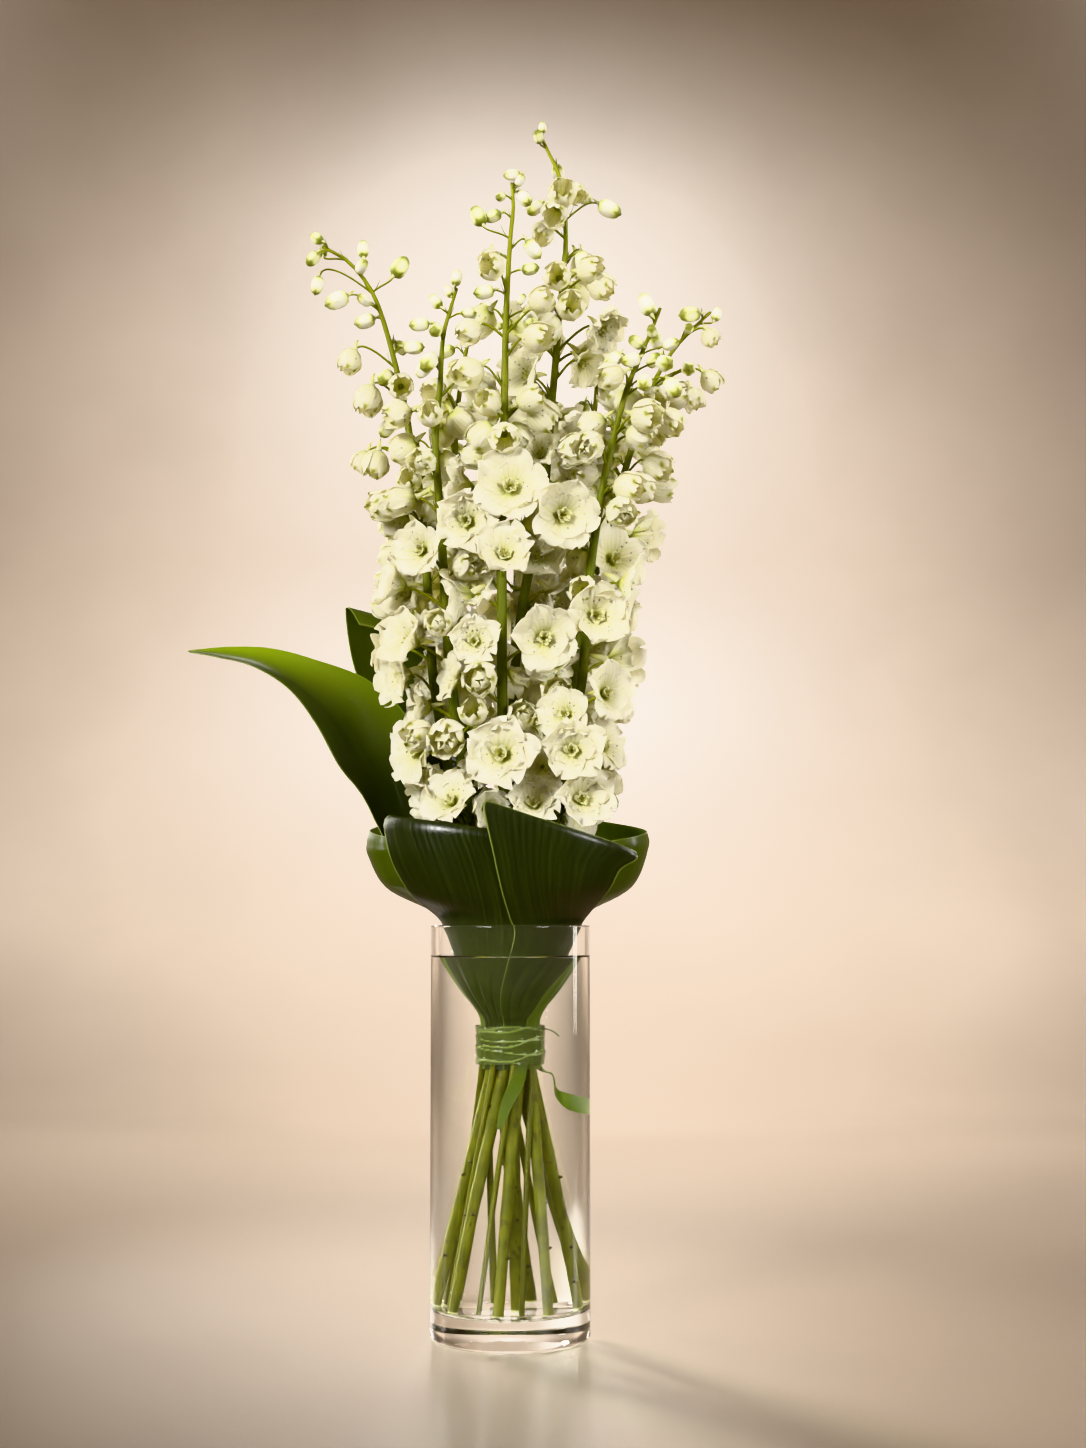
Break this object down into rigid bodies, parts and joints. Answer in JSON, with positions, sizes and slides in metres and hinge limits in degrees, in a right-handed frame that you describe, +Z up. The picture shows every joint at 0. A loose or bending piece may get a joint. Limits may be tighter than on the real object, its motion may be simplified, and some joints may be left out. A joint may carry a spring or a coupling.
{
  "type": "flower bunch in vase",
  "caption": "Hand-tied bunch of white delphinium spikes in a collar of glossy folded leaves, standing in a clear cylinder vase of water.",
  "frame": {"origin": "centre of the vase's underside", "axes": "+Z up along the vase's axis; the bunch faces -Y, and +X is to its right as seen from the front"},
  "size_m": [0.3397, 0.1701, 0.7699],
  "materials": {
    "glass": "clear polished",
    "water": "clear still water",
    "tie": "clear soft binding tape",
    "leaf": "glossy dark leaf with parallel veins",
    "leaf_light": "glossy bright green leaf with parallel veins",
    "petal": "thin satin petal",
    "bud": "satin bud, white with a green tip",
    "stem": "smooth fresh green stem"
  },
  "bodies": {
    "root": {"vase": "glass", "water": "water", "tie": "tie", "leaf_front_left": "leaf", "leaf_front_right": "leaf", "leaf_back": "leaf", "leaf_long": "leaf", "leaf_upright": "leaf", "leaf_right": "leaf_light", "leaf_left": "leaf_light", "leaf_tip_front": "leaf_light", "leaf_tip_side": "leaf_light", "spike_front": "petal", "spike_front_right": "petal", "spike_right": "petal", "spike_back_right": "petal", "spike_back": "petal", "spike_back_left": "petal", "spike_left": "petal", "spike_front_left": "petal", "spike_middle": "petal"}
  },
  "joints": []
}
